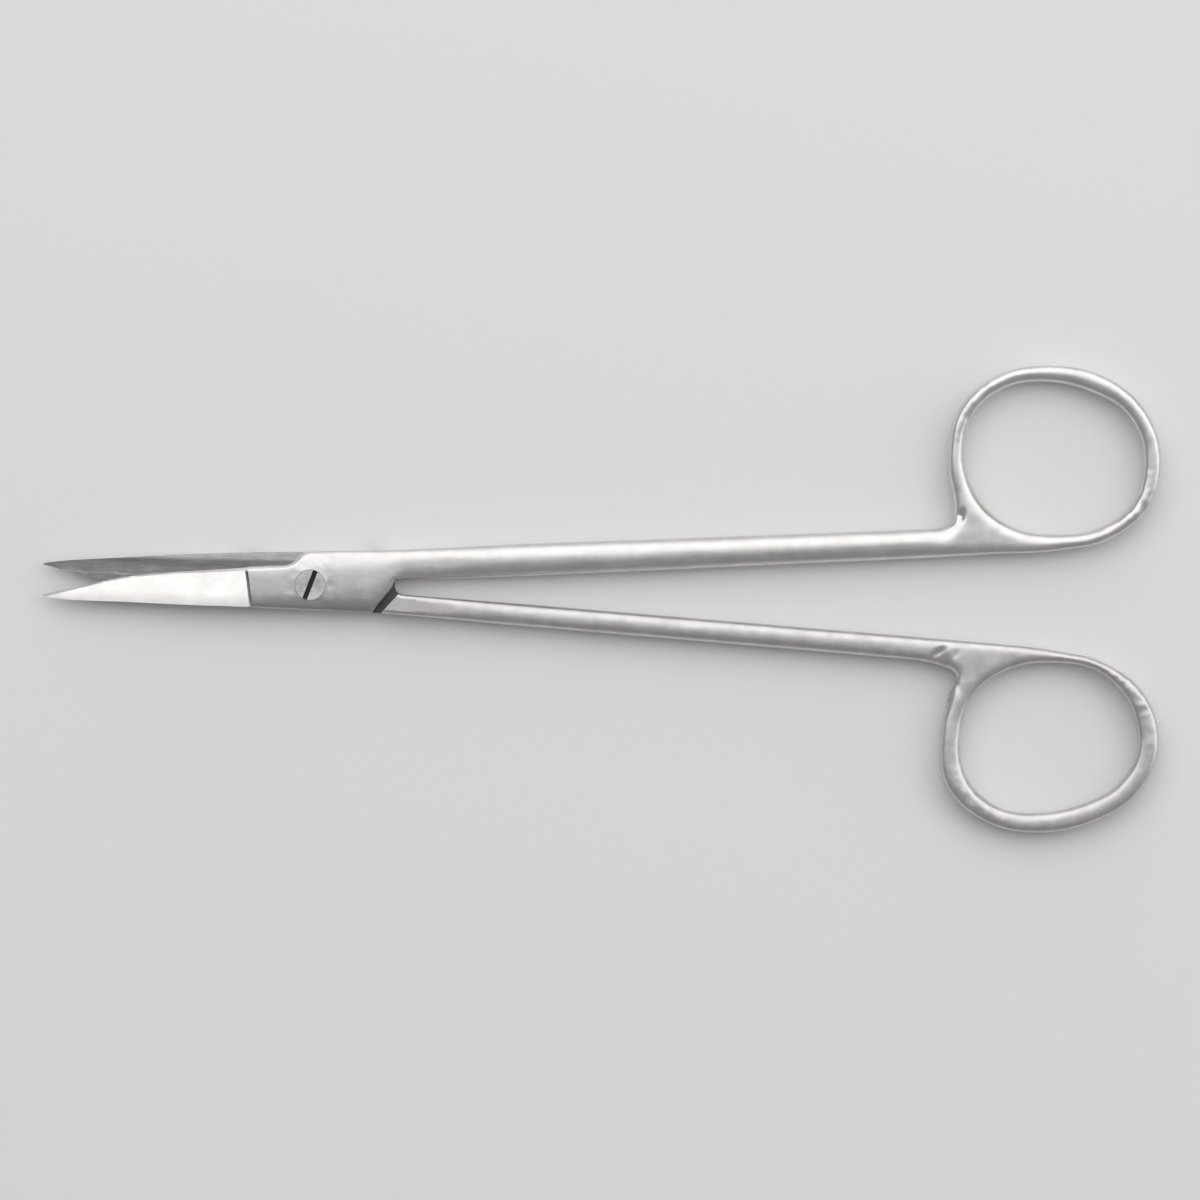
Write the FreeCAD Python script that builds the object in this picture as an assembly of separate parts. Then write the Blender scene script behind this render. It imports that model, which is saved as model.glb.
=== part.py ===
import FreeCAD, Part
import math
import os

# Slim surgical scissors with two sharp points, lying flat and open by seven degrees.
# Millimetres. The long axis is X, with the tips at -X and the finger rings at +X.
# The pivot axis is Z, and Z = 0 is the surface that the scissors lie on.
#
# Each half is drawn in a frame of its own: x runs from the pivot towards its ring,
# y towards the side that the ring is on, and z from the plane where the two halves
# meet out to that half's own face of the lock. The second half is the first one
# turned over about x, with sizes that differ a little, as forgings ground by hand do.

os.makedirs("parts", exist_ok=True)

# Lap joint, shared by both halves
rest_opening = 7.0
lock_half_height = 2.0
lap_gap = 0.04
lock_end = -8.8
lock_rise_start = -3.7
lock_rise_end = 0.4
lock_land = 2.6
edge_round = 0.58
knee_radius = 1.0
shoulder_slant = 52.0

# Pivot screw
head_diameter = 4.3
head_height = 0.85
head_sink = 0.06
head_clearance = 0.05
shank_diameter = 2.6
shank_clearance = 0.03
thread_diameter = 2.2
thread_clearance = 0.01
slot_width = 0.70
slot_depth = 0.45
slot_angle = 70.0

# Blades
blade_length = 38.2
tip_width = 0.22
edge_height = 0.42
bevel_lean = 40.0
ground_slope = 13.5
plunge_radius = 0.45
hollow_depth = 0.13
hollow_length = 34.5
hollow_width = 5.6

# Shanks, webs and rings
neck_length = 12.0
shank_half_height = 1.72
ring_foot = 10.0
dish_heading = 25.0
dish_length = 6.0
dish_radius = 2.6
dish_depth = 0.7

# Front half: the blade by its distance from the tip, the lock and the shank from the pivot
front_blade_spine = ((1.7, -0.40), (8.5, -1.09), (18.7, -1.98), (29.0, -2.81))
front_lock_spine = ((0.0, -3.61), (7.0, -4.14))
front_edge_belly = (8.5, 1.75)
front_edge_root = 2.88
front_edge_slope = 2.5
front_lock_side = 4.75
front_plate_corner = (8.6, -4.24)
front_plate_knee = (11.3, -1.38)
front_plate_inner = 12.1
front_crotch_radius = 0.3
front_shoulder_reach = 10.85
front_shank_inner_start = 0.20
front_shank_inner_end = 0.60
front_shank_outer_start = 4.50
front_shank_outer_end = 4.26
front_hole_round = 1.0
front_ring_centre = (106.58, 13.87)
front_root = ((-14.27, -7.10), (-14.42, -8.27), (-15.50, -9.16))
front_root_start = -18.10

# Front finger ring, every 30 degrees from the axis: radius of the hole, width of the wire
front_hole_radii = (12.89, 12.18, 10.86, 10.89, 12.10, 13.07, 12.78, 12.14, 11.43, 10.96, 11.96, 13.10)
front_wire_widths = (2.35, 2.38, 2.67, 2.28, 2.00, 1.99, 2.14, 2.55, 2.45, 2.21, 1.96, 2.07)

# Back half, with the same meanings
back_blade_spine = ((1.6, -0.35), (8.4, -1.34), (18.5, -2.71), (28.7, -3.90))
back_lock_spine = ((0.0, -4.78), (6.7, -5.41))
back_edge_belly = (8.5, 1.75)
back_edge_root = 2.80
back_edge_slope = 2.5
back_lock_side = 3.35
back_plate_corner = (7.7, -5.50)
back_plate_knee = (11.96, -1.60)
back_plate_inner = 12.0
back_crotch_radius = 1.3
back_shoulder_reach = 10.13
back_shank_inner_start = 0.28
back_shank_inner_end = 0.34
back_shank_outer_start = 3.16
back_shank_outer_end = 3.42
back_hole_round = 0.75
back_ring_centre = (106.68, 13.18)
back_root = ((-14.76, -4.03), (-14.10, -6.80), (-13.65, -8.00), (-14.60, -8.72), (-16.40, -9.26))
back_root_start = -22.10

# Back finger ring
back_hole_radii = (12.85, 11.82, 10.50, 10.64, 12.07, 12.96, 12.60, 12.30, 11.32, 10.93, 11.89, 12.57)
back_wire_widths = (2.85, 2.85, 2.81, 2.75, 2.63, 3.02, 2.60, 3.00, 2.30, 1.60, 1.42, 2.45)

LAP = lap_gap / 2
DEEP = 3 * lock_half_height
UP = FreeCAD.Vector(0, 0, 1)
ORIGIN = FreeCAD.Vector(0, 0, 0)

front = {
    "blade_spine": front_blade_spine, "lock_spine": front_lock_spine,
    "edge_belly": front_edge_belly, "edge_root": front_edge_root,
    "edge_slope": front_edge_slope, "lock_side": front_lock_side,
    "plate_corner": front_plate_corner, "plate_knee": front_plate_knee,
    "plate_inner": front_plate_inner, "crotch_radius": front_crotch_radius,
    "shoulder_reach": front_shoulder_reach,
    "inner_start": front_shank_inner_start, "inner_end": front_shank_inner_end,
    "outer_start": front_shank_outer_start, "outer_end": front_shank_outer_end,
    "ring_centre": front_ring_centre, "root": front_root, "root_start": front_root_start,
    "hole_radii": front_hole_radii, "wire_widths": front_wire_widths,
    "hole_round": front_hole_round,
}
back = {
    "blade_spine": back_blade_spine, "lock_spine": back_lock_spine,
    "edge_belly": back_edge_belly, "edge_root": back_edge_root,
    "edge_slope": back_edge_slope, "lock_side": back_lock_side,
    "plate_corner": back_plate_corner, "plate_knee": back_plate_knee,
    "plate_inner": back_plate_inner, "crotch_radius": back_crotch_radius,
    "shoulder_reach": back_shoulder_reach,
    "inner_start": back_shank_inner_start, "inner_end": back_shank_inner_end,
    "outer_start": back_shank_outer_start, "outer_end": back_shank_outer_end,
    "ring_centre": back_ring_centre, "root": back_root, "root_start": back_root_start,
    "hole_radii": back_hole_radii, "wire_widths": back_wire_widths,
    "hole_round": back_hole_round,
}


def flat(x, y):
    return FreeCAD.Vector(x, y, 0)


def heading(degrees):
    return flat(math.cos(math.radians(degrees)), math.sin(math.radians(degrees)))


def line(start, end):
    return Part.LineSegment(start, end).toShape()


def curve(points, first=None, last=None):
    spline = Part.BSplineCurve()
    if first is None:
        spline.interpolate(Points=points)
    else:
        spline.interpolate(Points=points, InitialTangent=first, FinalTangent=last)
    return spline.toShape()


def prism(edges, low, high):
    face = Part.Face(Part.Wire(edges))
    face.translate(UP * low)
    return face.extrude(UP * (high - low))


def ring_point(half, station, beyond):
    """A point at a station of the finger hole, so far outside the hole's edge."""
    count = len(half["hole_radii"])
    reach = half["hole_radii"][station % count] + beyond
    return flat(*half["ring_centre"]) + heading(station * 360 / count) * reach


def arc(start, corner, end):
    """Arc that leaves the start and reaches the end towards the corner between them."""
    middle = (start + end) / 2
    bow = corner - middle
    if bow.Length < 0.0001:
        return line(start, end)
    half_chord = (end - start).Length / 2
    turn = 2 * math.atan2(bow.Length, half_chord)
    return Part.Arc(start, middle + bow.normalize() * (half_chord * math.tan(turn / 4)), end).toShape()


def arc_pair(start, first, end, last):
    """Two arcs that meet smoothly, from one point and heading to the other."""
    gap = end - start
    both = first + last
    turn = 2 * (1 - first.dot(last))
    along = gap.dot(both)
    if turn < 0.000001:
        reach = gap.dot(gap) / (2 * along)
    else:
        reach = (math.sqrt(along ** 2 + turn * gap.dot(gap)) - along) / turn
    near, far = start + first * reach, end - last * reach
    meeting = (near + far) / 2
    return [arc(start, near, meeting), arc(meeting, far, end)]


def arcs(points, first, last):
    """Chain of arcs through the points, each heading that of a circle through three points."""
    headings = [first]
    for before, point, after in zip(points, points[1:], points[2:]):
        back_step, step = point - before, after - point
        headings.append((back_step / back_step.Length ** 2 + step / step.Length ** 2).normalize())
    headings.append(last)
    edges = []
    for index in range(len(points) - 1):
        edges += arc_pair(points[index], headings[index], points[index + 1], headings[index + 1])
    return edges


def hole_outline(half):
    """Edge of the finger hole, which is upright where it crosses the ring's own axis."""
    points = [ring_point(half, station, 0) for station in range(len(half["hole_radii"]) + 1)]
    return arcs(points, flat(0, 1), flat(0, 1))


def neck_x(half):
    return half["plate_inner"] + neck_length


def inner_line_y(half, x):
    """Height of the shank's inner edge, a straight line from the lock to the ring."""
    start, end = half["plate_inner"], half["ring_centre"][0] - ring_foot
    return half["inner_start"] + (half["inner_end"] - half["inner_start"]) * (x - start) / (end - start)


def outer_line_y(half, x):
    start, end = half["plate_inner"], half["ring_centre"][0] + half["root_start"]
    return half["outer_start"] + (half["outer_end"] - half["outer_start"]) * (x - start) / (end - start)


def plate_end(half):
    """Slanted end of the lock plate, with the rounded crotch where the shank starts."""
    corner = flat(*half["plate_corner"])
    knee = flat(*half["plate_knee"])
    inner = flat(half["plate_inner"], half["inner_start"])
    neck = flat(neck_x(half), inner_line_y(half, neck_x(half)))
    slant = (knee - corner).normalize()
    towards = (inner - knee).normalize()
    along = (neck - inner).normalize()
    bend = knee_radius * math.tan(slant.getAngle(towards) / 2)
    reach = half["crotch_radius"] * math.tan(towards.getAngle(along) / 2)
    bend_start, bend_end = knee - slant * bend, knee + towards * bend
    before, after = inner - towards * reach, inner + along * reach
    edges = [line(corner, bend_start), arc(bend_start, knee, bend_end), line(bend_end, before)]
    return edges + [arc(before, inner, after), line(after, neck)], neck


def ring_outline(half, start, first, end, last):
    """Outer edge of the ring and of its root, from the inner edge of the shank to the outer."""
    count = len(half["hole_radii"])
    widths = half["wire_widths"]
    stations = range(-count // 4, count // 2 + 1)
    around = [ring_point(half, k, widths[k % count]) for k in stations]
    root = [flat(*half["ring_centre"]) + flat(*point) for point in half["root"]]
    return arcs([start] + around + root + [end], first, last)


def from_tip(point):
    """Plan point of the blade, from its distance to the tip and its height."""
    return flat(point[0] - blade_length, point[1])


def spine_points(half):
    """The blunt side of the half, from the tip to the corner of the lock plate."""
    blade = [flat(-blade_length, 0)] + [from_tip(point) for point in half["blade_spine"]]
    return blade + [flat(*point) for point in half["lock_spine"] + (half["plate_corner"],)]


def lock_side_edges(half, start, first):
    """Edge of the lock on the ring side, stepping down to the root of the cutting edge."""
    rise_end = flat(lock_rise_end, half["lock_side"])
    rise_start = flat(lock_rise_start, half["edge_root"])
    blank_end = flat(-blade_length, half["edge_root"])
    edges = arc_pair(start, first, rise_end, flat(-1, 0))
    edges += arc_pair(rise_end, flat(-1, 0), rise_start, flat(-1, 0))
    return edges + [line(rise_start, blank_end)]


def blank_outline(half):
    """Outline of the forging seen from above, before the cutting edge is ground."""
    end_edges, neck = plate_end(half)
    foot_x = half["ring_centre"][0] - ring_foot
    foot = flat(foot_x, inner_line_y(half, foot_x))
    root_x = half["ring_centre"][0] + half["root_start"]
    root_end = flat(root_x, half["outer_end"])
    outer_neck = flat(neck_x(half), outer_line_y(half, neck_x(half)))
    outer_start = flat(half["plate_inner"], half["outer_start"])
    outwards = (foot - neck).normalize()
    homewards = (outer_neck - root_end).normalize()
    edges = [curve(spine_points(half))] + end_edges
    edges += [line(neck, foot)] + ring_outline(half, foot, outwards, root_end, homewards)
    edges += [line(root_end, outer_neck), line(outer_neck, outer_start)]
    edges += lock_side_edges(half, outer_start, homewards)
    return edges + [line(flat(-blade_length, half["edge_root"]), flat(-blade_length, 0))]


def side_profile(half):
    """Thickness along the half: full at the lock, then slimmer through the shank and ring."""
    start = FreeCAD.Vector(half["plate_inner"] + lock_land, 0, lock_half_height)
    end = FreeCAD.Vector(neck_x(half), 0, shank_half_height)
    left = -2 * blade_length
    right = 2 * half["ring_centre"][0]
    near = FreeCAD.Vector(left, 0, lock_half_height)
    far = FreeCAD.Vector(right, 0, shank_half_height)
    edges = [line(near, start)] + arc_pair(start, flat(1, 0), end, flat(1, 0)) + [line(end, far)]
    edges += [line(far, flat(right, 0) - UP), line(flat(right, 0) - UP, flat(left, 0) - UP)]
    edges.append(line(flat(left, 0) - UP, near))
    face = Part.Face(Part.Wire(edges))
    face.translate(flat(0, -right))
    return face.extrude(flat(0, 2 * right))


def top_edge(body, point):
    """The edge of the upper face that runs nearest to a plan point."""
    mark = Part.Vertex(point + UP * lock_half_height)
    edges = []
    for edge in body.Edges:
        start = edge.valueAt(edge.FirstParameter)
        end = edge.valueAt(edge.LastParameter)
        if min(start.z, end.z) > shank_half_height / 2 and abs(start.x - end.x) > 0.001:
            edges.append(edge)
    return min(edges, key=lambda edge: edge.distToShape(mark)[0])


def rounded(half, body):
    """The upper part with its edges rounded: the finger hole's, then the smooth outer chains."""
    ring_root = flat(*half["ring_centre"]) + flat(*half["root"][-2])
    plate = (flat(*half["plate_corner"]) + flat(*half["plate_knee"])) / 2
    spine = from_tip(half["blade_spine"][2])
    body = body.makeFillet(half["hole_round"], [top_edge(body, ring_point(half, 0, 0))])
    return body.makeFillet(edge_round, [top_edge(body, mark) for mark in (ring_root, plate, spine)])


def lap_pocket(half):
    """Room for the other half: all below the lap plane, up to the slanted shoulder."""
    normal = heading(90 - shoulder_slant)
    along = heading(-shoulder_slant)
    foot = normal * half["shoulder_reach"]
    reach = 2 * blade_length
    rim = [foot + along * reach, foot - along * reach]
    rim += [foot - along * reach - normal * reach, foot + along * reach - normal * reach]
    return prism([line(a, b) for a, b in zip(rim, rim[1:] + rim[:1])], -DEEP, LAP)


def edge_grind(half):
    """What is taken off along the cutting edge, leaning back to leave the bevel."""
    start = flat(-blade_length, tip_width)
    belly = from_tip(half["edge_belly"])
    root = flat(lock_end, half["edge_root"])
    straight = (belly - start).normalize()
    before = start - straight * blade_length / 4
    high = flat(root.x, 3 * half["edge_root"])
    rim = [line(before, belly), curve([belly, root], straight, heading(half["edge_slope"]))]
    rim += [line(root, high), line(high, flat(before.x, high.y))]
    rim.append(line(flat(before.x, high.y), before))
    lean = FreeCAD.Vector(0, -math.tan(math.radians(bevel_lean)), 1)
    face = Part.Face(Part.Wire(rim))
    face.translate(UP * LAP)
    above = face.extrude(lean * DEEP)
    face.translate(UP * -2 * LAP)
    return above.fuse(face.extrude(UP * 2 * LAP))


def blade_grind(half):
    """What the wheel takes off the outer face of the blade, with its round run-out."""
    low = LAP + edge_height
    start = FreeCAD.Vector(lock_end - plunge_radius, 0, low)
    lean = plunge_radius * (1 - math.sqrt(0.5))
    middle = FreeCAD.Vector(lock_end - lean, 0, low + lean)
    end = FreeCAD.Vector(lock_end, 0, low + plunge_radius)
    top = FreeCAD.Vector(lock_end, 0, DEEP)
    far_top = FreeCAD.Vector(-2 * blade_length, 0, DEEP)
    far = FreeCAD.Vector(-2 * blade_length, 0, low)
    edges = [line(far, start), Part.Arc(start, middle, end).toShape(), line(end, top)]
    edges += [line(top, far_top), line(far_top, far)]
    slope = math.radians(ground_slope)
    rise = FreeCAD.Vector(0, -math.cos(slope), math.sin(slope))
    face = Part.Face(Part.Wire(edges))
    face.translate(rise * -blade_length)
    body = face.extrude(rise * 2 * blade_length)
    root = flat(lock_end, half["edge_root"])
    chord = root - flat(-blade_length, tip_width)
    body.translate(flat(0, half["edge_root"]))
    body.rotate(root, UP, math.degrees(math.atan2(chord.y, chord.x)))
    return body


def blade_hollow(half):
    """Round wheel that hollows the inner face, to nothing at the tip and widest at the lock."""
    tip = FreeCAD.Vector(-blade_length, tip_width / 2, LAP)
    end_y = (half["edge_root"] + half["lock_spine"][0][1]) / 2
    end = FreeCAD.Vector(-blade_length + hollow_length, end_y, LAP + hollow_depth)
    along = end - tip
    over = (UP - along * (UP.dot(along) / along.dot(along))).normalize()
    radius = hollow_width ** 2 / (8 * hollow_depth)
    return Part.makeCylinder(radius, along.Length, tip - over * radius, along)


def root_dishes(half):
    """Shallow valley ground into both faces of the web, from the root of the ring inwards."""
    root = flat(*half["ring_centre"]) + flat(*half["root"][-2])
    inwards = heading(dish_heading)
    dishes = []
    for sign in (1, -1):
        start = root - inwards * dish_length / 2 + UP * sign * (shank_half_height + dish_radius - dish_depth)
        axis = inwards * dish_length + UP * sign * dish_depth
        dishes.append(Part.makeCone(dish_radius, dish_radius / 2, 2 * axis.Length, start, axis))
    return dishes


def forge(half):
    """One half, from its outline and thickness and what is ground away."""
    blank = prism(blank_outline(half), 0, DEEP).common(side_profile(half))
    blank = blank.cut(prism(hole_outline(half), -DEEP, DEEP)).Solids[0]
    upper = rounded(half, blank)
    body = upper.fuse(upper.mirror(ORIGIN, UP))
    body = body.cut([lap_pocket(half), edge_grind(half), blade_grind(half), blade_hollow(half)])
    return body.cut(root_dishes(half))


def cylinder(diameter, low, high):
    return Part.makeCylinder(diameter / 2, high - low, UP * low)


def head_floor():
    return lock_half_height - head_sink - head_height


def front_half():
    seat = cylinder(head_diameter + 2 * head_clearance, head_floor(), DEEP)
    bore = cylinder(shank_diameter + 2 * shank_clearance, -DEEP, DEEP)
    body = forge(front).cut([seat, bore])
    body.rotate(ORIGIN, UP, rest_opening / 2)
    body.translate(UP * lock_half_height)
    return body


def back_half():
    thread = cylinder(thread_diameter + 2 * thread_clearance, -DEEP, DEEP)
    body = forge(back).cut(thread)
    body.rotate(ORIGIN, flat(1, 0), 180)
    body.rotate(ORIGIN, UP, -rest_opening / 2)
    body.translate(UP * lock_half_height)
    return body


def pivot_screw():
    """Slotted cheese-head screw: it bears in the front half and is tight in the back half."""
    top = lock_half_height - head_sink
    floor = head_floor()
    screw = cylinder(head_diameter, floor, top).fuse([
        cylinder(shank_diameter, LAP, floor),
        cylinder(thread_diameter, -lock_half_height, LAP),
    ])
    slot = Part.makeBox(2 * head_diameter, slot_width, DEEP)
    slot.translate(FreeCAD.Vector(-head_diameter, -slot_width / 2, top - slot_depth))
    slot.rotate(ORIGIN, UP, slot_angle)
    body = screw.removeSplitter().cut(slot)
    body.translate(UP * lock_half_height)
    return body


pieces = {"front_half": front_half(), "back_half": back_half(), "pivot_screw": pivot_screw()}
for name, shape in pieces.items():
    box = shape.BoundBox
    print(name, "solids", len(shape.Solids), "valid", shape.isValid(), "volume", round(shape.Volume, 1),
          "box", [round(v, 2) for v in (box.XMin, box.YMin, box.ZMin, box.XMax, box.YMax, box.ZMax)])
    shape.exportStep("parts/" + name + ".step")
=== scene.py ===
import bmesh
import bpy
import math
from mathutils import Matrix, Vector, noise


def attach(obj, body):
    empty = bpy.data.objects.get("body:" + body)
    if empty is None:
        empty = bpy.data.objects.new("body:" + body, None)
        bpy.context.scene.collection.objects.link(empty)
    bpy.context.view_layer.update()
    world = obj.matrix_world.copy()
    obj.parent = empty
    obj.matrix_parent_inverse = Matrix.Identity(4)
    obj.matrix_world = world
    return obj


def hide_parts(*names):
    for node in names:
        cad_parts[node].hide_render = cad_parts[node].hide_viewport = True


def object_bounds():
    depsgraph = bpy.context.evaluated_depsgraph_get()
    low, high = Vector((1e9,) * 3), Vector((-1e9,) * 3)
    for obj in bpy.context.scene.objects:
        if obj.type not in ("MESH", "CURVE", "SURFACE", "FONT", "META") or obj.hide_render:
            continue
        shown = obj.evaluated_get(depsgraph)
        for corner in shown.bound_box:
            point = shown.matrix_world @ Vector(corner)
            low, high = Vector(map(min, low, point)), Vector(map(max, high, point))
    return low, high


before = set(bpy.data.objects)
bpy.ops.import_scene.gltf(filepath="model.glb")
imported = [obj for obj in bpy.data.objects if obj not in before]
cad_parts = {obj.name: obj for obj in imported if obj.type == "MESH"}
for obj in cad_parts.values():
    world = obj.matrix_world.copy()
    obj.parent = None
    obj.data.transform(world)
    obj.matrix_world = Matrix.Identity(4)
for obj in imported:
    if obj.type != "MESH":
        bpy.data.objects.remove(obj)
cad_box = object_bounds()
scene = bpy.context.scene

# Front half: a stainless steel forging with the bright blade, the upper plate of the lock, a thin
# shank and the thumb's ring. It is ground and then polished by hand, so that shank and ring have
# gone soft and round, while blade and lock keep their crisp edges.
mm = 0.001
hair = 0.0001 * mm
front_turn = 3.5
lap_height = 2.0 * mm
lock_start = -8.75 * mm
seam = 15.2 * mm
seam_gap = 0.12 * mm


def half_place(turned_over, turn):
    """From a half's own frame, with the lap plane at zero, to its place in the scissors."""
    place = Matrix.Translation((0, 0, lap_height)) @ Matrix.Rotation(math.radians(turn), 4, "Z")
    if turned_over:
        place = place @ Matrix.Rotation(math.pi, 4, "X")
    return place


def merged_copy(node, place):
    """Copy of a solid's mesh in the half's own frame, with its doubles merged."""
    mesh = bmesh.new()
    mesh.from_mesh(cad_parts[node].data)
    bmesh.ops.remove_doubles(mesh, verts=mesh.verts, dist=10 * hair)
    mesh.transform(place.inverted())
    return mesh


def merge_flats(mesh):
    """Makes one face of each flat stretch of small triangles."""
    bmesh.ops.dissolve_limit(mesh, angle_limit=math.radians(0.3), verts=mesh.verts, edges=mesh.edges)


def cut_off(mesh, x, keep_left):
    """Cuts the mesh square across at x and keeps one side of it, left open."""
    everything = mesh.verts[:] + mesh.edges[:] + mesh.faces[:]
    bmesh.ops.bisect_plane(mesh, geom=everything, plane_co=(x, 0, 0), plane_no=(1, 0, 0), dist=hair,
                           clear_outer=keep_left, clear_inner=not keep_left)


def score(mesh, faces, point, normal):
    """Divides the given faces along the line where a plane crosses them."""
    edges = dict.fromkeys(edge for face in faces for edge in face.edges)
    verts = dict.fromkeys(vert for face in faces for vert in face.verts)
    bmesh.ops.bisect_plane(mesh, geom=list(verts) + list(edges) + faces, plane_co=point,
                           plane_no=normal, dist=hair)


def open_rim(mesh):
    return [edge for edge in mesh.edges if edge.is_boundary]


def share(value, low, high):
    """How far a value has come from low to high, from 0 to 1 and smooth at both ends."""
    part = min(max((value - low) / (high - low), 0), 1)
    return part * part * (3 - 2 * part)


net_size = 0.2 * mm


def fine_copy(mesh, name):
    """The same shape as an even net of small faces, fine enough to be worn smooth."""
    holder = bpy.data.objects.new(name, bpy.data.meshes.new(name))
    scene.collection.objects.link(holder)
    mesh.to_mesh(holder.data)
    net = holder.modifiers.new("net", "REMESH")
    net.mode = "VOXEL"
    net.voxel_size = net_size
    bpy.context.view_layer.update()
    finished = holder.evaluated_get(bpy.context.evaluated_depsgraph_get())
    fine = bmesh.new()
    fine.from_mesh(finished.data)
    bpy.data.objects.remove(holder)
    return fine


ring_centre = (106.6 * mm, 13.5 * mm)
filed_sides = (-38, 142)
filed_spread = 26
streak_length = 1 / 0.16
streaks_per_metre = 0.7 / mm
hollows_per_metre = 0.5 / mm
flats_per_metre = 1.0 / mm


def polish_waves(spot, on_ring):
    """What hand polishing leaves: long streaks on the shank, hollows and filed flats on the ring."""
    streak = Vector((spot.x / streak_length, spot.y, spot.z)) * streaks_per_metre
    around = math.degrees(math.atan2(spot.y - ring_centre[1], spot.x - ring_centre[0]))
    filed = sum(math.exp(-((around - side) / filed_spread) ** 2) for side in filed_sides)
    shank_wave = 0.5 * noise.noise(streak)
    ring_wave = 0.8 * noise.noise(spot * hollows_per_metre)
    ring_wave += (0.2 + 2 * filed) * noise.noise(spot * flats_per_metre)
    return shank_wave + (ring_wave - shank_wave) * on_ring


def press(mesh, marks):
    """Small hollows and lumps that the file left in both faces at the root of the ring.

    A mark has its x and y, the direction of its length in degrees, its length, its width and
    its depth, which is less than nothing for a lump."""
    for x, y, direction, length, width, depth in marks:
        for vert in mesh.verts:
            away = Vector((vert.co.x - x, vert.co.y - y))
            if away.length < 3 * length and abs(vert.normal.z) > 0.3:
                away.rotate(Matrix.Rotation(math.radians(-direction), 2))
                fall = math.exp(-(away.x / length) ** 2 - (away.y / width) ** 2)
                vert.co.z -= math.copysign(depth * fall, vert.co.z)


ring_start = 86 * mm
blend_length = 16 * mm
seam_overlap = 2 * mm
shank_given_back = 0.0025 * mm
ring_given_back = 0.002 * mm


def handle(mesh, name, shank_passes, ring_passes, waves, marks):
    """Shank, web and ring, worn round by the wheel, from a little past the lock plate.

    The wheel doesn't touch the half at the lock, goes over the shank most often and over the
    ring less. What each pass takes off the curved sides is given back along the normals."""
    rough = mesh.copy()
    cut_off(rough, seam - seam_overlap, False)
    bmesh.ops.edgenet_fill(rough, edges=open_rim(rough))
    fine = fine_copy(rough, name)
    rough.free()
    on_ring = {vert: share(vert.co.x, ring_start, ring_start + blend_length) for vert in fine.verts}
    passes = {}
    for vert in fine.verts:
        most = shank_passes + (ring_passes - shank_passes) * on_ring[vert]
        passes[vert] = share(vert.co.x, seam, seam + blend_length) * most
    for done in range(max(shank_passes, ring_passes)):
        worn = [vert for vert in fine.verts if passes[vert] > done]
        bmesh.ops.smooth_vert(fine, verts=worn, factor=0.5, use_axis_x=True, use_axis_y=True,
                              use_axis_z=True)
    fine.normal_update()
    for vert in fine.verts:
        given_back = shank_given_back + (ring_given_back - shank_given_back) * on_ring[vert]
        wave = waves * share(vert.co.x, seam, seam + blend_length) * polish_waves(vert.co, on_ring[vert])
        vert.co += vert.normal * (passes[vert] * given_back + wave)
    press(fine, marks)
    cut_off(fine, seam + seam_gap, False)
    return fine


slice_width = 0.3 * mm
slices_beside = 14


def slice_lock(mesh):
    """Fine squares over the lock plate, so that its face can be crowned and dented."""
    for step in range(1, math.ceil((seam - lock_start) / slice_width)):
        plate = [face for face in mesh.faces if face.calc_center_median().x > lock_start]
        score(mesh, plate, (lock_start + step * slice_width, 0, 0), (1, 0, 0))
    for step in range(-slices_beside, slices_beside):
        plate = [face for face in mesh.faces if face.calc_center_median().x > lock_start]
        score(mesh, plate, (0, (step + 0.5) * slice_width, 0), (0, 1, 0))


crown_before_lock = 0.6 * mm
crown_above = 0.3 * mm
crown_fades = (16 * mm, 32 * mm)
plate_narrows = (8 * mm, 14 * mm)
lock_middle = 0.5 * mm
lock_half_width = 4.2 * mm
shank_middle = 2.35 * mm
shank_half_width = 2.15 * mm
dent_depth = 0.05 * mm
lock_dents_per_metre = 0.8 / mm
staked_rise = (2.25 * mm, 2.6 * mm)
staked_fall = (3.0 * mm, 4.2 * mm)
staked_above = 1.5 * mm
staked_dents_per_metre = 0.9 / mm


def crown(mesh, depth):
    """Lets the lock plate's face fall away to both sides, and on into the shank.

    The lower side has shallow dents, and the steel is knocked down a little round the screw."""
    for vert in mesh.verts:
        if vert.co.x > lock_start - crown_before_lock and vert.co.z > crown_above:
            to_shank = share(vert.co.x, *plate_narrows)
            middle = lock_middle + (shank_middle - lock_middle) * to_shank
            half_width = lock_half_width + (shank_half_width - lock_half_width) * to_shank
            side = min(abs(vert.co.y - middle) / half_width, 1)
            left = 1 - share(vert.co.x, *crown_fades)
            vert.co.z -= depth * left * side ** 3 * vert.co.z / lap_height
            if vert.co.y < middle:
                dent = share(side, 0.4, 0.8) * noise.noise(vert.co * lock_dents_per_metre)
                vert.co.z += dent_depth * left * dent
            from_screw = vert.co.xy.length
            if staked_rise[0] < from_screw < staked_fall[1] and vert.co.z > staked_above:
                ring = share(from_screw, *staked_rise) * (1 - share(from_screw, *staked_fall))
                vert.co.z += dent_depth * ring * (noise.noise(vert.co * staked_dents_per_metre) - 0.3)


def mark_sharp(mesh):
    """Crisp edges: steep ones, and shallow ones between two broad faces."""
    steep = math.radians(32)
    shallow = math.radians(4)
    breadth = {face: 2 * face.calc_area() / face.calc_perimeter() for face in mesh.faces}
    for edge in mesh.edges:
        if len(edge.link_faces) == 2:
            angle = edge.calc_face_angle(0)
            broad = min(breadth[face] for face in edge.link_faces) > 0.35 * mm
            edge.smooth = not (angle > steep or (broad and angle > shallow))


# Ground inner faces: smoother steel, with a darker colour that paints in their dark reflection.
ground_finish_and_painted_light = 1
# Painted shade: faces in the lap and in the corners at the lock's start get a dark steel colour.
painted_corner_shade = 2
inner_face_depth = 0.3 * mm
corner_width = 0.9 * mm
lap_shade_from = 2.5 * mm


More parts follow.
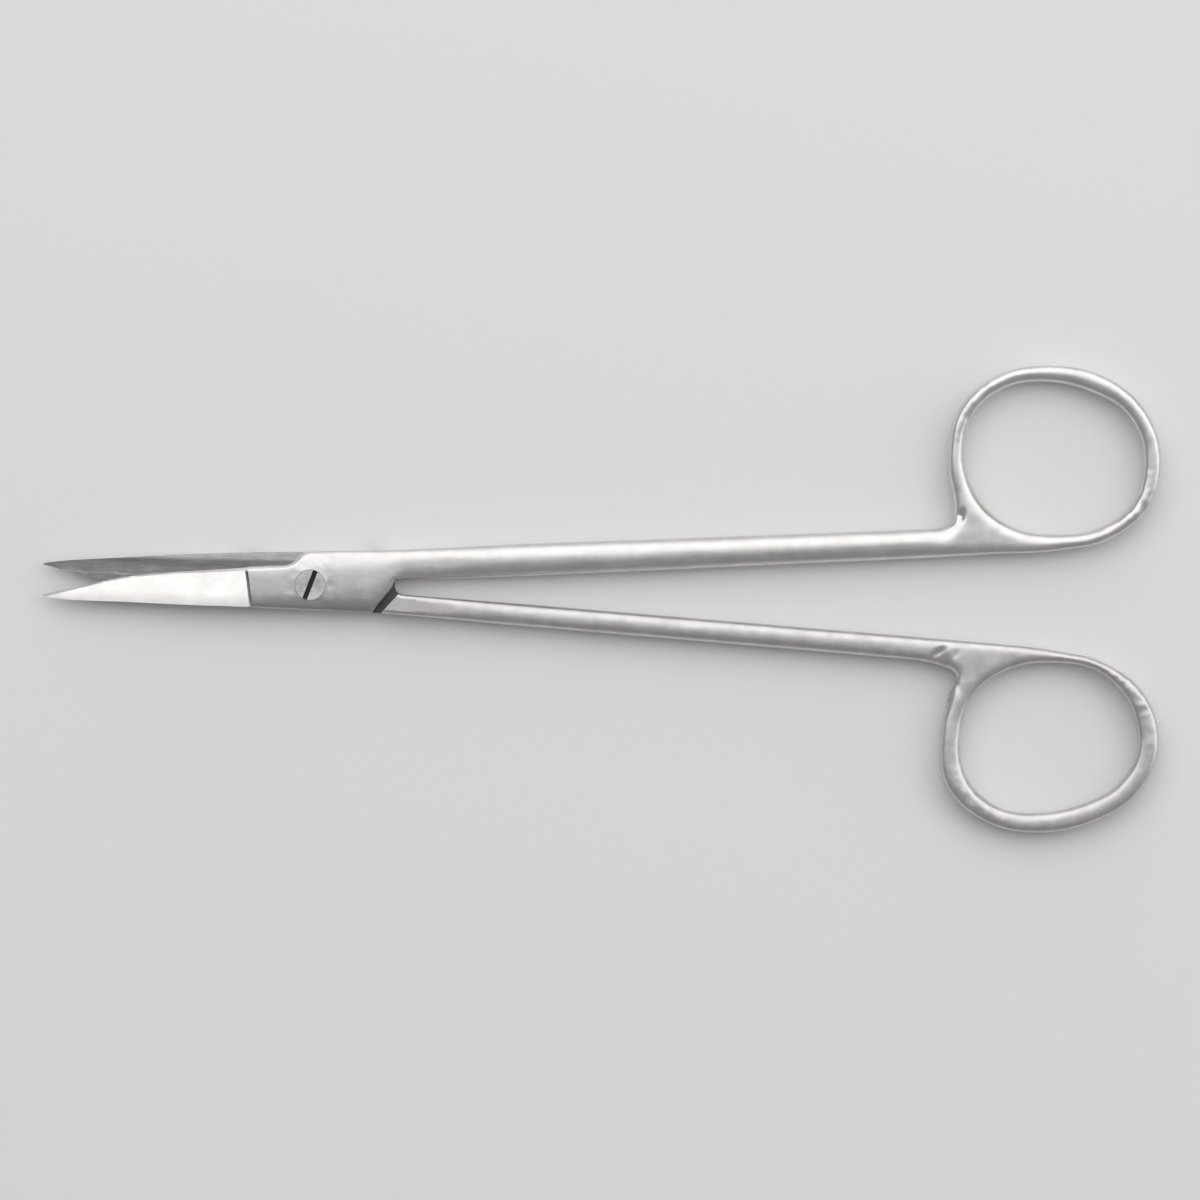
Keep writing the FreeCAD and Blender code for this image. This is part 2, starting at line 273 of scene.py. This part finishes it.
def mark_finishes(mesh):
    """Says which faces are ground, with painted light in their colour, and which get painted shade in the
    lap and in the corners at the lock's start.
    """
    score(mesh, mesh.faces[:], (lap_shade_from, 0, 0), (1, 0, 0))
    for face in mesh.faces:
        middle = face.calc_center_median()
        inside = abs(middle.z) < inner_face_depth
        if inside and face.normal.z < -0.97:
            face.material_index = ground_finish_and_painted_light if middle.x < lap_shade_from else painted_corner_shade
        elif abs(middle.z) > inner_face_depth and face.normal.x < -0.05:
            if abs(middle.x - lock_start) < corner_width:
                face.material_index = painted_corner_shade


def hold_in_box(mesh):
    """Keeps the polishing waves inside the box of the solids."""
    for vert in mesh.verts:
        for axis in range(3):
            vert.co[axis] = min(max(vert.co[axis], cad_box[0][axis]), cad_box[1][axis])


edge_break = 0.07 * mm


def finished_object(mesh, name):
    """The object of a closed mesh, with its sharp edges broken as on the polishing wheel."""
    made = bpy.data.objects.new(name, bpy.data.meshes.new(name))
    scene.collection.objects.link(made)
    mesh.to_mesh(made.data)
    mesh.free()
    broken = made.modifiers.new("broken edges", "BEVEL")
    broken.width = edge_break
    broken.segments = 2
    broken.limit_method = "ANGLE"
    broken.angle_limit = math.radians(36)
    evened = made.modifiers.new("even normals", "WEIGHTED_NORMAL")
    evened.keep_sharp = True
    evened.weight = 90
    return made


def half_object(node, name, place, shank_passes, ring_passes, waves, marks, crown_depth=0):
    """The whole half as one closed mesh: crisp blade and lock, joined to the worn handle."""
    mesh = merged_copy(node, place)
    worn = handle(mesh, name + "_handle", shank_passes, ring_passes, waves, marks)
    cut_off(mesh, seam, True)
    merge_flats(mesh)
    mark_sharp(mesh)
    mark_finishes(mesh)
    if crown_depth:
        slice_lock(mesh)
        crown(mesh, crown_depth)
        crown(worn, crown_depth)
    handle_mesh = bpy.data.meshes.new(name + "_handle")
    worn.to_mesh(handle_mesh)
    worn.free()
    mesh.from_mesh(handle_mesh)
    bpy.data.meshes.remove(handle_mesh)
    bmesh.ops.bridge_loops(mesh, edges=open_rim(mesh))
    for face in mesh.faces:
        face.smooth = True
    bmesh.ops.recalc_face_normals(mesh, faces=mesh.faces)
    mesh.transform(place)
    hold_in_box(mesh)
    return finished_object(mesh, name)


def steel(name, colour, roughness, turn, mottle, seed, shaded=None):
    """Satin stainless steel: fine grain along the piece, cloudy patches and a wavy hand polish.

    Shaded steel has painted light or shade: plain up to one y and so many times as bright from another y
    on."""
    made = bpy.data.materials.new(name)
    made.use_nodes = True
    nodes, links = made.node_tree.nodes, made.node_tree.links
    shader = nodes["Principled BSDF"]
    shader.inputs["Metallic"].default_value = 1.0
    place = nodes.new("ShaderNodeTexCoord")
    along = nodes.new("ShaderNodeMapping")
    along.inputs["Rotation"].default_value = (0, 0, math.radians(-turn))
    along.inputs["Location"].default_value = (seed, seed, seed)
    links.new(place.outputs["Object"], along.inputs["Vector"])
    stretch = nodes.new("ShaderNodeMapping")
    stretch.inputs["Scale"].default_value = (0.06, 1, 1)
    links.new(along.outputs["Vector"], stretch.inputs["Vector"])
    grain = nodes.new("ShaderNodeTexNoise")
    grain.inputs["Scale"].default_value = 7000
    grain.inputs["Detail"].default_value = 3
    links.new(stretch.outputs["Vector"], grain.inputs["Vector"])
    cloud = nodes.new("ShaderNodeTexNoise")
    cloud.inputs["Scale"].default_value = 420
    cloud.inputs["Detail"].default_value = 4
    cloud.inputs["Roughness"].default_value = 0.6
    links.new(along.outputs["Vector"], cloud.inputs["Vector"])

    tone = nodes.new("ShaderNodeMapRange")
    tone.inputs["From Min"].default_value = 0.3
    tone.inputs["From Max"].default_value = 0.7
    tone.inputs["To Min"].default_value = 1 - mottle
    tone.inputs["To Max"].default_value = 1 + mottle * 0.4
    links.new(cloud.outputs["Fac"], tone.inputs["Value"])
    tint = nodes.new("ShaderNodeVectorMath")
    tint.operation = "SCALE"
    tint.inputs[0].default_value = colour
    links.new(tone.outputs["Result"], tint.inputs["Scale"])
    # Painted light or shade: the colour is made brighter or darker along the object's y.
    if shaded:
        times, plain_to, full_from = shaded
        across = nodes.new("ShaderNodeSeparateXYZ")
        links.new(place.outputs["Object"], across.inputs["Vector"])
        band = nodes.new("ShaderNodeMapRange")
        band.inputs["From Min"].default_value = plain_to
        band.inputs["From Max"].default_value = full_from
        band.inputs["To Min"].default_value = 1
        band.inputs["To Max"].default_value = times
        links.new(across.outputs["Y"], band.inputs["Value"])
        shade = nodes.new("ShaderNodeMath")
        shade.operation = "MULTIPLY"
        links.new(tone.outputs["Result"], shade.inputs[0])
        links.new(band.outputs["Result"], shade.inputs[1])
        links.new(shade.outputs["Value"], tint.inputs["Scale"])
    links.new(tint.outputs["Vector"], shader.inputs["Base Color"])

    gloss = nodes.new("ShaderNodeMapRange")
    gloss.inputs["From Min"].default_value = 0.25
    gloss.inputs["From Max"].default_value = 0.75
    gloss.inputs["To Min"].default_value = roughness - 0.06
    gloss.inputs["To Max"].default_value = roughness + 0.08
    links.new(grain.outputs["Fac"], gloss.inputs["Value"])
    links.new(gloss.outputs["Result"], shader.inputs["Roughness"])
    fine = nodes.new("ShaderNodeBump")
    fine.inputs["Strength"].default_value = 0.25
    fine.inputs["Distance"].default_value = 0.004 * mm
    links.new(grain.outputs["Fac"], fine.inputs["Height"])
    wavy = nodes.new("ShaderNodeBump")
    wavy.inputs["Strength"].default_value = 0.5
    wavy.inputs["Distance"].default_value = 0.03 * mm
    links.new(cloud.outputs["Fac"], wavy.inputs["Height"])
    links.new(fine.outputs["Normal"], wavy.inputs["Normal"])
    links.new(wavy.outputs["Normal"], shader.inputs["Normal"])
    return made


front_marks = (
    (93.1 * mm, 6.2 * mm, 82, 0.75 * mm, 0.42 * mm, 0.55 * mm),
    (91.6 * mm, 4.1 * mm, 40, 1.1 * mm, 0.5 * mm, -0.10 * mm),
)
front_half = half_object("front_half", "front_half_steel", half_place(False, front_turn), shank_passes=110,
                         ring_passes=26, waves=0.035 * mm, marks=front_marks, crown_depth=0.45 * mm)
# Painted shade: the front steel falls to 0.6 times as bright towards the lock's lower side, from y -1.4 mm
# to -3.7 mm.
painted_lock_shade = (0.6, -1.4 * mm, -3.7 * mm)
# The painted corner shade on the front half gets 3.2 times as bright towards the lower side, from y 1.5 mm
# to -4.0 mm.
corner_shade_fade = (3.2, 1.5 * mm, -4.0 * mm)
front_finishes = (
    steel("front_steel", (0.75, 0.74, 0.72), 0.33, front_turn, mottle=0.10, seed=0.0, shaded=painted_lock_shade),
    # Ground inner face: lower roughness, and a darker colour painted in as its dark reflection.
    steel("front_ground_face", (0.46, 0.45, 0.45), 0.20, front_turn, mottle=0.10, seed=0.9),
    # Painted shade in the lap and the corners, lighter towards the lower side.
    steel("front_wheel_corner", (0.19, 0.18, 0.17), 0.5, front_turn, mottle=0.3, seed=0.2,
          shaded=corner_shade_fade),
)
for finish in front_finishes:
    front_half.data.materials.append(finish)
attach(front_half, "front_half")
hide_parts("front_half")

# Back half: the other forging, turned over and lapped under the first. Its blade shows the
# hollow-ground inner face, its ring takes a finger. Same steel, a little rougher, with its colour
# painted a little darker as shade.
back_turn = -3.5
back_marks = (
    (90.0 * mm, 2.2 * mm, -39, 1.2 * mm, 0.42 * mm, 0.22 * mm),
    (92.5 * mm, 2.2 * mm, -60, 0.8 * mm, 0.45 * mm, 0.07 * mm),
    (92.2 * mm, 5.2 * mm, 62, 2.2 * mm, 0.55 * mm, 0.28 * mm),
    (92.0 * mm, 8.7 * mm, 98, 2.4 * mm, 0.60 * mm, 0.30 * mm),
)
back_half = half_object("back_half", "back_half_steel", half_place(True, back_turn), shank_passes=50,
                        ring_passes=26, waves=0.04 * mm, marks=back_marks)
# Painted highlight: the back blade's ground inner face is 2.1 times as bright along its spine, from y 3.2
# mm to 3.65 mm.
painted_spine_highlight = (2.1, 3.2 * mm, 3.65 * mm)
back_finishes = (
    # Painted shade: the back half's steel is a darker copy of the front half's.
    steel("back_steel", (0.68, 0.66, 0.66), 0.38, back_turn, mottle=0.14, seed=0.31),
    # Ground inner face: lower roughness, a darker colour painted in as dark reflection, and the painted
    # spine highlight.
    steel("back_ground_face", (0.46, 0.45, 0.45), 0.20, back_turn, mottle=0.14, seed=1.3,
          shaded=painted_spine_highlight),
    # Painted shade in the lap and the corners, darker than on the front half.
    steel("back_wheel_corner", (0.12, 0.115, 0.11), 0.5, back_turn, mottle=0.3, seed=0.4),
)
for finish in back_finishes:
    back_half.data.materials.append(finish)
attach(back_half, "back_half")
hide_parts("back_half")

# Pivot screw: turned from stainless steel, with a slotted head that is sunk almost flush in the
# upper plate. It is screwed tight into the lower plate, and the front half turns on it.
head_top = 3.94 * mm
slot_below = 3.4 * mm
slot_reach = 1.9 * mm
slot_turn = 70
screw = merged_copy("pivot_screw", Matrix.Identity(4))
merge_flats(screw)
mark_sharp(screw)
for face in screw.faces:
    face.smooth = True
    middle = face.calc_center_median()
    off_top = abs(middle.z - head_top) > 0.02 * mm
    # The slot's walls and floor get the second material, a near-black painted shade.
    face.material_index = int(off_top and middle.z > slot_below and middle.xy.length < slot_reach)
pivot_screw = bpy.data.objects.new("pivot_screw_steel", bpy.data.meshes.new("pivot_screw_steel"))
scene.collection.objects.link(pivot_screw)
screw.to_mesh(pivot_screw.data)
screw.free()
evened = pivot_screw.modifiers.new("even normals", "WEIGHTED_NORMAL")
evened.keep_sharp = True
screw_finishes = (
    steel("screw_steel", (0.80, 0.79, 0.77), 0.30, front_turn, mottle=0.32, seed=0.57),
    # Painted shade in the slot.
    steel("slot_painted_shade", (0.06, 0.06, 0.055), 0.6, slot_turn, mottle=0.4, seed=0.7),
)
for finish in screw_finishes:
    pivot_screw.data.materials.append(finish)
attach(pivot_screw, "back_half")
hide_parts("pivot_screw")

# Floor and light: a pale table top under the scissors, a large soft light above its far side
# with a card behind, a small one from the right, and a pale wall where the table ends.
table = bmesh.new()
bmesh.ops.create_grid(table, x_segments=1, y_segments=1, size=3)
floor = bpy.data.objects.new("floor", bpy.data.meshes.new("floor"))
scene.collection.objects.link(floor)
table.to_mesh(floor.data)
table.free()
floor.location = (0, 0, -0.02 * mm)
pale = bpy.data.materials.new("pale_table")
pale.use_nodes = True
pale.node_tree.nodes["Principled BSDF"].inputs["Base Color"].default_value = (0.88, 0.88, 0.88, 1)
pale.node_tree.nodes["Principled BSDF"].inputs["Roughness"].default_value = 0.9
floor.data.materials.append(pale)


def soft_light(name, place, aim, size, energy):
    lamp = bpy.data.lights.new(name, "AREA")
    lamp.shape = "RECTANGLE"
    lamp.size, lamp.size_y = size
    lamp.energy = energy
    light = bpy.data.objects.new(name, lamp)
    scene.collection.objects.link(light)
    light.location = place
    light.rotation_euler = (Vector(aim) - Vector(place)).to_track_quat("-Z", "Y").to_euler()


soft_light("far_light", place=(0.04, 1.41, 1.3), aim=(0.04, 1.41, 0), size=(3.2, 2.6), energy=31)
soft_light("back_card", place=(0.04, 2.9, 0.65), aim=(0.04, 0, 0.65), size=(3.2, 1.3), energy=10.5)
soft_light("right_light", place=(1.9, 0.2, 0.9), aim=(0.04, 0, 0), size=(1.6, 1.6), energy=8)
world = bpy.data.worlds.new("studio")
scene.world = world
world.use_nodes = True
nodes, links = world.node_tree.nodes, world.node_tree.links
room = nodes["Background"]
room.inputs["Color"].default_value = (0.9, 0.9, 0.92, 1)
room.inputs["Strength"].default_value = 0.32
wall = nodes.new("ShaderNodeBackground")
wall.inputs["Color"].default_value = (0.68, 0.68, 0.68, 1)
path = nodes.new("ShaderNodeLightPath")
seen = nodes.new("ShaderNodeMixShader")
links.new(path.outputs["Is Camera Ray"], seen.inputs["Fac"])
links.new(room.outputs["Background"], seen.inputs[1])
links.new(wall.outputs["Background"], seen.inputs[2])
links.new(seen.outputs["Shader"], nodes["World Output"].inputs["Surface"])

# Camera: it looks straight down from 1.2 m through a long lens, as the photograph does, with
# the picture turned by 1.2 degrees.
eye = bpy.data.cameras.new("camera")
eye.lens = 252
eye.sensor_width = 36
camera = bpy.data.objects.new("camera", eye)
scene.collection.objects.link(camera)
camera.location = (0.04133, -0.00125, 1.2)
camera.rotation_euler = (0, 0, math.radians(1.228))
scene.camera = camera
scene.view_settings.view_transform = "Standard"
